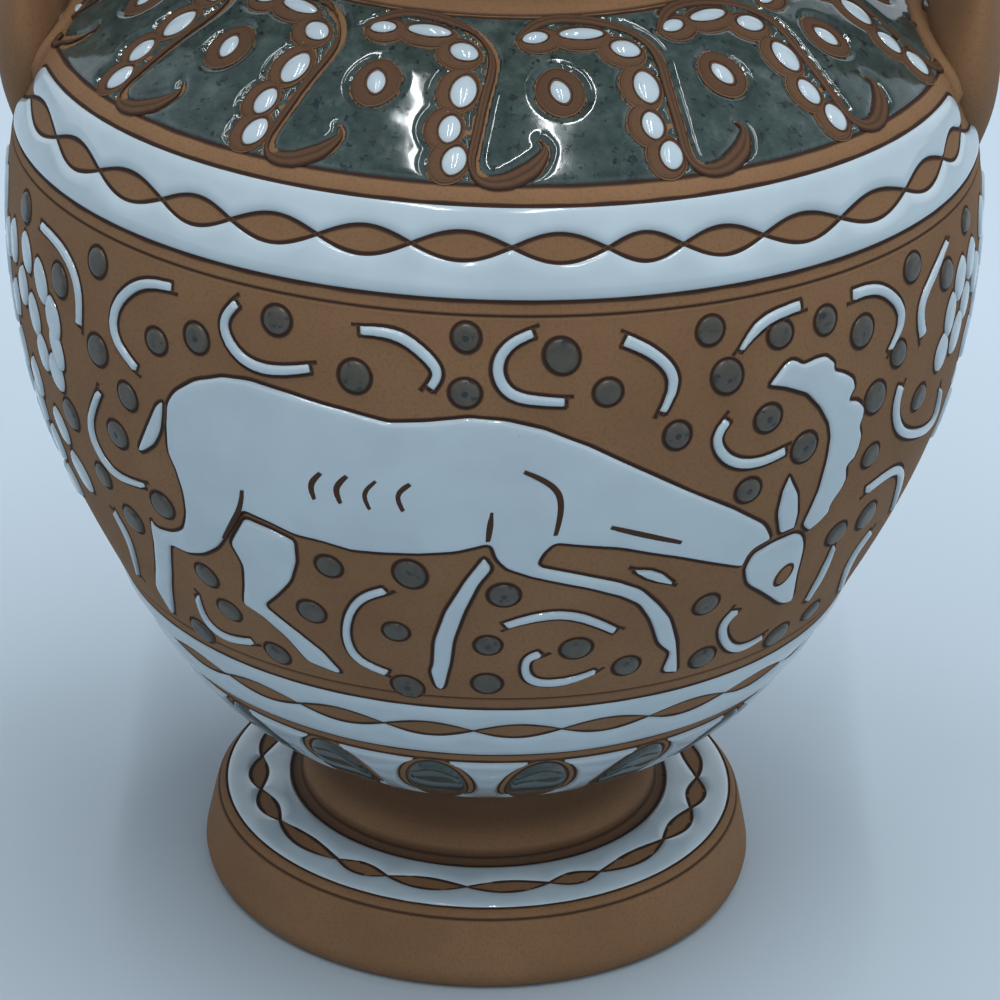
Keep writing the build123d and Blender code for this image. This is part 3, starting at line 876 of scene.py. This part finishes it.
# Share of the full width that the crescents keep at their two ends, where it isn't the plain one
PLAIN_ENDS = (0.8, 0.8)
CRESCENT_ENDS = {
    5: (1.15, 0.6), 6: (0.7, 0.5), 7: (0.35, 1.0), 8: (1.1, 0.3), 9: (0.35, 1.2), 11: (1.0, 0.3),
    12: (1.0, 0.25), 15: (0.9, 0.5), 16: (1.0, 0.3), 18: (0.5, 0.5), 19: (0.1, 0.1), 20: (0.3, 0.3),
    21: (0.9, 0.3)}
DOT_WIDTH, DOT_SPREAD = 3.6, 0.4
DOT_STRETCH, DOT_STRETCH_SPREAD = 1.06, 0.1
DOT_TURN = 30
DOT_LINE_MARGIN = 0.4

goat, strokes, crescents, dots, frieze_lines = Bin(), Bin(), Bin(), Bin(), Bin()
frieze_marks = []


def inset(outline, margin):
    """Closed outline on the belly drawn in by a margin in millimetres."""
    scale = np.array([BODY.radius(np.mean(outline[:, 1])), 1])
    flat = outline * scale
    return (flat + inward(flat) * margin) / scale


for i, (part, outline) in enumerate(GOAT_CELLS.items()):
    closed = [outline[-1], *outline, outline[0]]
    eased = round_corners(closed, SHARP_CORNER if part in ("horn", "ear") else SOFT_CORNER)[1:-1]
    shape, _ = evenly(on_body(eased), step=0.5)
    cell(goat, inset(shape, LINE_GAP), seed=i + 1.0)
    line(frieze_lines, shape, width=0.54)
for path in GOAT_STROKES:
    walk = drawn(path, step=2.0, per_span=10)
    taper = STROKE_WIDTH + STROKE_SWELL * np.sin(np.linspace(*STROKE_TAPER, len(walk)))
    ribbon(strokes, walk, taper, lambda x: STROKE_LIFT - STROKE_ROUND * x ** 2,
           lambda x: np.full_like(x, STROKE_TONE), across=5, round_ends=False)
eye = oval_at(on_body([GOAT_EYE])[0], width=2.4, height=3.5, turn=-12)
dome(strokes, eye, thickness=GLAZE + 0.2, width=0.3)
line(strokes, eye, THIN_LINE, lift=GLAZE + 0.05)

for i, path in enumerate(CRESCENTS):
    walk = drawn(path, step=2.5)
    frieze_marks.extend(walk)
    first, last = CRESCENT_ENDS.get(i, PLAIN_ENDS)
    share = np.linspace(0, 1, len(walk))
    wide = CRESCENT_HALF_WIDTH * np.interp(share, (0, *CRESCENT_FULL, 1), (first, 1, 1, last))
    ribbon(crescents, walk, wide, lambda x: GLAZE * np.sqrt(np.maximum(0, 1 - x ** 4)))
    flat, tangent, side = walked_sides(BODY, walk)
    scale = np.stack([BODY.radius(walk[:, 1]), np.ones(len(walk))], -1)
    corners = []
    for sign, over in zip((1, -1), OVERSHOOTS[::1 if i % 2 else -1]):
        edge = flat + side * sign * (wide + LINE_GAP)[:, None]
        first = edge[:1] - tangent[0] * over
        last = edge[-1:] + tangent[-1] * (sum(OVERSHOOTS) - over)
        points = np.concatenate([first, edge, last]) / np.concatenate([scale[:1], scale, scale[-1:]])
        line(frieze_lines, points, closed=False)
        corners.append((edge[0] - tangent[0] * LINE_GAP, edge[-1] + tangent[-1] * LINE_GAP))
    for end in (0, 1):
        across = by_length([corners[0][end], corners[1][end]], step=0.25)
        line(frieze_lines, across / scale[-end], THIN_LINE, closed=False)

for i, pixel in enumerate(DOTS):
    wide = DOT_WIDTH + DOT_SPREAD * sway(i, 1.9)
    tall = wide * (DOT_STRETCH + DOT_STRETCH_SPREAD * sway(i, 2.4))
    turn = DOT_TURN * sway(i, 2.4)
    centre = on_body([pixel])[0]
    frieze_marks.append(centre)
    dome(dots, oval_at(centre, wide, tall, turn), thickness=0.45, width=0.7)
    if i in PITTED:
        dome(dots, oval_at(centre, width=1.05, height=1.1, count=16), thickness=0.5, width=0.15, tone=1.0)
    outline = oval_at(centre, wide + DOT_LINE_MARGIN, tall + DOT_LINE_MARGIN, turn)
    line(frieze_lines, outline)

FACES = ("front", "rear")
make_both("goat_{}_glaze", FACES, goat, WHITE, "goat_{}")
make_both("goat_{}_strokes", FACES, strokes, CLAY)
make_both("crescents_{}_glaze", FACES, crescents, WHITE)
make_both("dots_{}_glaze", FACES, dots, GREY)
make_both("frieze_{}_lines", FACES, frieze_lines, CLAY)

# Leaf bunch under each handle: rows of almond petals as (height, reach to the front, reach to the back)
PETAL_ROWS = [
    (106.5, 13, 14), (101.5, 20, 20), (96.5, 20, 24), (91.5, 20, 24), (86.5, 15, 24), (81.5, 15, 24),
    (76.5, 13, 24), (71.5, 11, 22), (66.5, 8, 18)]
# Petals that the photo shows one by one, of the right bunch and of the left one
PETALS_RIGHT_PX = [(969, 258), (959, 278), (963, 300), (949, 314), (954, 332), (940, 352)]
PETALS_LEFT_PX = [
    (16, 240), (28, 252), (25, 285), (42, 281), (19, 296), (36, 314), (54, 318), (45, 352), (58, 348),
    (39, 376), (58, 372), (43, 399), (63, 425), (60, 441), (83, 471), (76, 479)]
PETAL_STEP = 6.6
PETAL_SPAN = np.arange(-30, 30.1, PETAL_STEP)
PETAL, PETAL_SPREAD = (3.5, 5.9), (0.1, 0.09)
PETAL_FORM = dict(point=0.35, count=24)
PETAL_LINE_MARGIN = (0.4, 0.5)
PETAL_WANDER = (0.7, 0.8)
PETAL_LEAN, PETAL_TURN = 0.6, 9
PETAL_ROOM = (4.1, 6.4)
MARK_ROOM = (3.6, 4.6)


def apart(centre, others, room):
    """True if no other centre, on either face, lies in the oval of this room round the centre."""
    across = [math.remainder(other[0] - centre[0], TURN / 2) * BODY.radius(centre[1]) for other in others]
    along = [other[1] - centre[1] for other in others]
    return min(math.hypot(x / room[0], y / room[1]) for x, y in zip(across, along)) > 1


petals, petal_lines = Bin(), Bin()
petal_places = [*on_body(PETALS_RIGHT_PX), *(on_body(PETALS_LEFT_PX) + (math.pi, 0))]
petal_places = [(math.remainder(az, TURN), s) for az, s in petal_places]
for row, (height, front_reach, back_reach) in enumerate(PETAL_ROWS):
    places = PETAL_SPAN + PETAL_STEP / 2 * (row % 2)
    for place in places[(places >= -front_reach) & (places <= back_reach)]:
        az = math.radians(place + PETAL_WANDER[0] * math.sin(place * 1.3 + row * 2.1))
        centre = (az, BODY.at_height(height + PETAL_WANDER[1] * sway(place, 2.9)))
        if apart(centre, petal_places, PETAL_ROOM) and apart(centre, frieze_marks, MARK_ROOM):
            petal_places.append(centre)
for i, centre in enumerate(petal_places):
    wide = PETAL[0] * (1 + PETAL_SPREAD[0] * sway(i, 1.7))
    tall = PETAL[1] * (1 + PETAL_SPREAD[1] * sway(i, 2.3))
    turn = PETAL_LEAN * math.degrees(centre[0]) + PETAL_TURN * sway(i, 2.9)
    dome(petals, oval_at(centre, wide, tall, turn, **PETAL_FORM), width=0.7)
    wide, tall = wide + PETAL_LINE_MARGIN[0], tall + PETAL_LINE_MARGIN[1]
    line(petal_lines, oval_at(centre, wide, tall, turn, **PETAL_FORM), width=0.44)
BUNCHES = ("right", "left")
make_both("petals_{}_glaze", BUNCHES, petals, WHITE, "petals_{}")
make_both("petals_{}_lines", BUNCHES, petal_lines, CLAY)

# Calyx over the foot: green tongues in double outlines, white wedges in the room between them
CALYX_COUNT = 18
CALYX_FIRST = math.radians(-98)
CALYX_STEP = TURN / CALYX_COUNT
CALYX_HEIGHTS = (23.0, 39.9)
TONGUE = (7.6, 19.0)
TONGUE_DROP = 0.9
TONGUE_OUTLINES = (0.5, 2.4)
WEDGE_MARGIN, WEDGE_LEAST = 0.5, 0.012
calyx_low, calyx_high = (BODY.at_height(z) for z in CALYX_HEIGHTS)
tongues, wedges = Bin(), Bin()
tongue_wide, tongue_tall = TONGUE[0] + TONGUE_OUTLINES[1], TONGUE[1] + TONGUE_OUTLINES[1]
for i in range(CALYX_COUNT):
    az = CALYX_FIRST + i * CALYX_STEP
    centre = (az, calyx_high - TONGUE[1] / 2 - TONGUE_DROP)
    dome(tongues, oval_at(centre, *TONGUE), width=1.1)
    for margin in TONGUE_OUTLINES:
        outline = oval_at(centre, TONGUE[0] + margin, TONGUE[1] + margin)
        line(body_lines, outline, width=0.4)
    s = np.linspace(calyx_low, calyx_high - WEDGE_MARGIN, 24)
    rise = np.clip((s - centre[1]) / (tongue_tall / 2), -1, 1)
    tongue_half = (tongue_wide + WEDGE_MARGIN) / 2 * np.sqrt(1 - rise ** 2) / BODY.radius(centre[1])
    half = np.maximum(CALYX_STEP / 2 - tongue_half, WEDGE_LEAST)
    sides = [np.stack([az + CALYX_STEP / 2 + sign * half, s], -1) for sign in (-1, 1)]
    cell(wedges, np.concatenate([sides[0], sides[1][::-1]]), width=0.5)
ring_line(body_lines, calyx_high)
make("calyx_tongues_glaze", tongues, GREEN, "calyx_tongues")
make("calyx_wedges_glaze", wedges, WHITE, "calyx_wedges")

# Shoulder: green field with arched clay spines, strings of white beads and almond eyes
EYES_PX = [(139, 5), (229, 49), (377, 82), (560, 93), (725, 80), (824, 37)]
UNIT_EYE = 3
SPINE_PX = [
    (516, 42), (535, 26), (565, 20), (600, 24), (630, 34), (655, 55), (666, 85), (675, 115), (682, 140),
    (690, 160), (706, 170), (724, 167), (737, 156), (744, 142), (743, 130), (734, 122)]
BEADS_PX = [(535, 39), (581, 35), (625, 50), (646, 88), (652, 126), (671, 156)]
# Beads as (width, height, tilt)
BEAD_SHAPES = [
    (3.4, 2.1, 12), (5.8, 2.1, -3), (3.9, 2.9, -25), (3.3, 5.2, -6), (2.8, 4.2, -4), (3.0, 4.3, -12)]
BEAD_LIFT = 0.74
LOBE_MARGIN = 2.3
LOBE_SHIFT = 0.7
RIB_TONE = 0.62
# The brown border of a bead or an eye, and the lines along its rim and round the white
LOBE = dict(thickness=0.24, edge=0.6, tone=RIB_TONE, rim_lift=0.2, line_size=1.07, line_width=0.3)
EYE_BORDER = dict(
    thickness=0.3, edge=0.8, tone=RIB_TONE + 0.1, rim_lift=0.24, line_size=1.12, line_width=0.34)
SPINE_HALF, SPINE_SWELL, SPINE_SWELL_AT = 0.9, 0.4, (0.88, 0.07)
SPINE_TAPER = ((0.0, 0.06, 0.92, 1.0), (0.5, 1.0, 1.0, 0.3))
SPINE_LIFT, SPINE_FALL = 0.42, 0.24
SPINE_LINE, SPINE_LINE_AT = 0.45, (0.1, 0.14)
FIELD = (128.5, 141.7)
FIELD_LIFT, FIELD_EDGE, FIELD_SINK, FIELD_RIPPLE = 0.55, 1.0, 0.3, 0.06
FIELD_EDGE_ROWS = np.array([0.0, 0.08, 0.25])
FIELD_ROWS = (0.55, 0.5, 0.38)
FIELD_COLUMNS = 1000
FIELD_LINE_GAP = 0.2
# The field keeps clear of rims by a small margin, of what lies inside them by more
CLEAR_SHARES = (0.85, 0.7, 0.55, 0.4, 0.25, 0.1)
RIM_POINTS = 120
RIM_MARGIN, INNER_MARGIN, LINK_MARGIN = 0.12, 0.45, 1.0
RIM_LINE = 0.88
LINK_SHARES = (0.3, 0.6, 0.9)
# Oval in plan under each handle root, where the field stays under the clay
ROOT_MIDDLE, ROOT_HALF = 62, (8.0, 19)
ROOT_SINK = -0.1
EYE_OVAL = dict(width=6.4, height=7.8, point=0.1)
EYE_WHITE = tilted(oval(width=2.5, height=3.9, point=0.2), degrees=14)

eyes_at = on_body(EYES_PX)
unit_az = filled_round(eyes_at[:, 0], count=14)
origin = eyes_at[UNIT_EYE]
spine = drawn(SPINE_PX, step=3.0) - (origin[0], 0)
beads_at = on_body(BEADS_PX) - (origin[0], 0)
field_low, field_high = (BODY.at_height(z) for z in FIELD)
spine_share = np.linspace(0, 1, len(spine))
spine_half = SPINE_HALF + SPINE_SWELL * bell(spine_share - SPINE_SWELL_AT[0], SPINE_SWELL_AT[1])
spine_half *= np.interp(spine_share, *SPINE_TAPER)


def spine_tone(share):
    """Brown rib with dark edges and one dark line drawn along it."""
    drawn_line = SPINE_LINE * bell(share - SPINE_LINE_AT[0], SPINE_LINE_AT[1])
    return np.clip(RIB_TONE + np.abs(share) ** 5 + drawn_line, 0, 1)


beads, ribs = Bin(), Bin()
kept_clear = []


def set_white(place, white, border, rim, thickness, edge, tone, rim_lift, line_size, line_width, shift=0.0):
    """Dome of white in a brown border, and the field kept off the border's rim and its inside."""
    dome(ribs, local(place, border + shift), thickness, edge, tone)
    line(ribs, local(place, border * RIM_LINE + shift), lift=rim_lift)
    dome(beads, local(place, white), BEAD_LIFT)
    line(ribs, local(place, white * line_size), line_width, lift=thickness)
    kept_clear.extend((p, RIM_MARGIN) for p in local(place, rim + shift))
    for share in CLEAR_SHARES:
        kept_clear.extend((p, INNER_MARGIN) for p in local(place, (border + shift) * share))


for az in unit_az:
    path = spine + (az, 0)
    for place, (wide, tall, turn) in zip(beads_at + (az, 0), BEAD_SHAPES):
        gaps = (path - place) * (BODY.radius(place[1]), 1)
        towards = gaps[np.argmin(np.hypot(*gaps.T))]
        shift = -towards / np.hypot(*towards) * LOBE_SHIFT
        white = tilted(oval(wide, tall, point=0.15, count=32), turn)
        size = (wide + LOBE_MARGIN, tall + LOBE_MARGIN)
        border, rim = (tilted(oval(*size, count=count), turn) for count in (32, RIM_POINTS))
        set_white(place, white, border, rim, **LOBE, shift=shift)
        kept_clear += [(p, LINK_MARGIN) for p in local(place, np.outer(LINK_SHARES, towards))]
    ribbon(ribs, path, spine_half, lambda x: SPINE_LIFT - SPINE_FALL * x ** 4, spine_tone, across=11)
    kept_clear += list(zip(path, spine_half))
    border, rim = oval(**EYE_OVAL), oval(**EYE_OVAL, count=RIM_POINTS)
    set_white((az, origin[1]), EYE_WHITE, border, rim, **EYE_BORDER)
make("shoulder_beads", beads, WHITE)
make("shoulder_ribs", ribs, CLAY)

# The field is a fine grid that rises with the distance from all that stands in it
tall = field_high - field_low
first_row, last_gap, row_step = FIELD_ROWS
middle_rows = np.arange(first_row, tall - last_gap, row_step)
rows = np.concatenate([FIELD_EDGE_ROWS, middle_rows, tall - FIELD_EDGE_ROWS[::-1]])
columns = np.linspace(0, TURN, FIELD_COLUMNS, endpoint=False)
az_grid, s_grid = np.meshgrid(columns, field_low + rows)
on_clay = BODY.place(az_grid, s_grid)
tree = tree_of([BODY.place(*p) for p, _ in kept_clear])
nearest = np.empty(az_grid.shape)
for index in np.ndindex(az_grid.shape):
    _, which, distance = tree.find(tuple(on_clay[index]))
    nearest[index] = distance - kept_clear[which][1]
depth = np.minimum(nearest, np.minimum(s_grid - field_low, field_high - s_grid))
lift = edge_lift(depth, FIELD_EDGE, FIELD_LIFT)
lift *= 1 + FIELD_RIPPLE * ripple(az_grid, s_grid, seed=5.0, pace=(30, 1.1))
sunk = -np.minimum(edge_lift(-depth, FIELD_EDGE, FIELD_LIFT), FIELD_SINK)
lift = np.where(depth <= 0, sunk, lift)
out, along = np.abs(on_clay[..., 0]) - ROOT_MIDDLE, np.abs(on_clay[..., 1])
under_root = along < ROOT_HALF[1] * np.sqrt(np.clip(1 - (out / ROOT_HALF[0]) ** 2, 0, 1))
lift = np.where(under_root, ROOT_SINK, lift)
field = Bin()
field.grid(BODY.place(az_grid, s_grid, lift), wrap=True)
make("shoulder_field_glaze", field, GREEN, "shoulder_field")
for s in (field_low - FIELD_LINE_GAP, field_high + FIELD_LINE_GAP):
    ring_line(body_lines, s)
make("ring_lines", body_lines, CLAY)

# Floor, walls, lights and camera, in metres
# Painted shade and light: the floor colour is darker near the camera and lighter further back
FLOOR_NEAR_PAINTED_SHADE = (0.40, 0.47, 0.525, 1)
FLOOR_FAR_PAINTED_LIGHT = (0.52, 0.61, 0.69, 1)
FLOOR_PAINTED_LIGHT_FADE = (-0.05, 0.22)
# Pale walls all round under a darker ceiling, by the height of the direction
WALL_LIGHT = (0.70, 0.78, 0.86, 1)
CEILING_LIGHT = (0.20, 0.225, 0.25, 1)
CEILING_RISE = (0.35, 0.85)
TUBE = dict(aim=(0, 0, 0.1), size=(0.02, 1.0), power=3.6, colour=(0.95, 0.98, 1.0), mirrored=True)
SKYLIGHT = dict(aim=(0, 0, 0.1), size=(1.1, 1.0), power=6.6, colour=(0.93, 0.97, 1.0), mirrored=False)
FRONT_FILL = dict(aim=(0, 0, 0.08), size=(0.5, 0.4), power=0.8, colour=(1.0, 0.98, 0.96), mirrored=False)
LAMP_LENGTHWISE = (0, 1, 0.01)
scene = bpy.context.scene

bpy.ops.mesh.primitive_plane_add(size=8.0)
floor = bpy.context.object
floor.name = "floor"
floor_material, look, bsdf = shader("floor", {"Roughness": 0.7})
place = look.add("TexCoord").outputs["Object"]
# Painted shade and light on the floor, fading from near to far
look.links.new(look.fade(place, "Y", FLOOR_PAINTED_LIGHT_FADE, FLOOR_NEAR_PAINTED_SHADE, FLOOR_FAR_PAINTED_LIGHT), bsdf.inputs["Base Color"])
floor.data.materials.append(floor_material)

world = bpy.data.worlds.new("studio")
look = Look(world)
direction = look.add("TexCoord").outputs["Generated"]
sky = look.fade(direction, "Z", CEILING_RISE, WALL_LIGHT, CEILING_LIGHT)
look.links.new(sky, look.nodes["Background"].inputs["Color"])
scene.world = world


def stand(name, data, axes, place):
    """Put a lamp or the camera in the scene by its axes and place."""
    thing = bpy.data.objects.new(name, data)
    thing.matrix_world = Matrix(np.column_stack(axes).tolist()).to_4x4()
    thing.location = place
    scene.collection.objects.link(thing)
    return thing


def lamp(name, place, aim, size, power, colour, mirrored):
    """Oblong area lamp that shines at its aim, and is seen in the glaze or not."""
    data = bpy.data.lights.new(name, "AREA")
    data.shape = "RECTANGLE"
    data.size, data.size_y = size
    data.energy = power
    data.color = colour
    away = np.array(place) - np.array(aim)
    z = away / np.linalg.norm(away)
    x = np.cross(LAMP_LENGTHWISE, z)
    x /= np.linalg.norm(x)
    stand(name, data, [x, np.cross(z, x), z], place).visible_glossy = mirrored


lamp("tube_left", (-0.20, -0.30, 1.12), **TUBE)
lamp("tube_right", (0.14, -0.30, 1.12), **TUBE)
lamp("skylight", (0.30, 0.12, 1.10), **SKYLIGHT)
lamp("front_fill", (0.25, -1.1, 0.70), **FRONT_FILL)

camera_data = bpy.data.cameras.new("camera")
camera_data.sensor_width = SENSOR_WIDTH
camera_data.lens = PHOTO_FOCAL / PHOTO_SIZE * SENSOR_WIDTH
scene.camera = stand("camera", camera_data, [RIGHT, UP, -FORWARD], EYE * MM)
scene.view_settings.view_transform = "Standard"
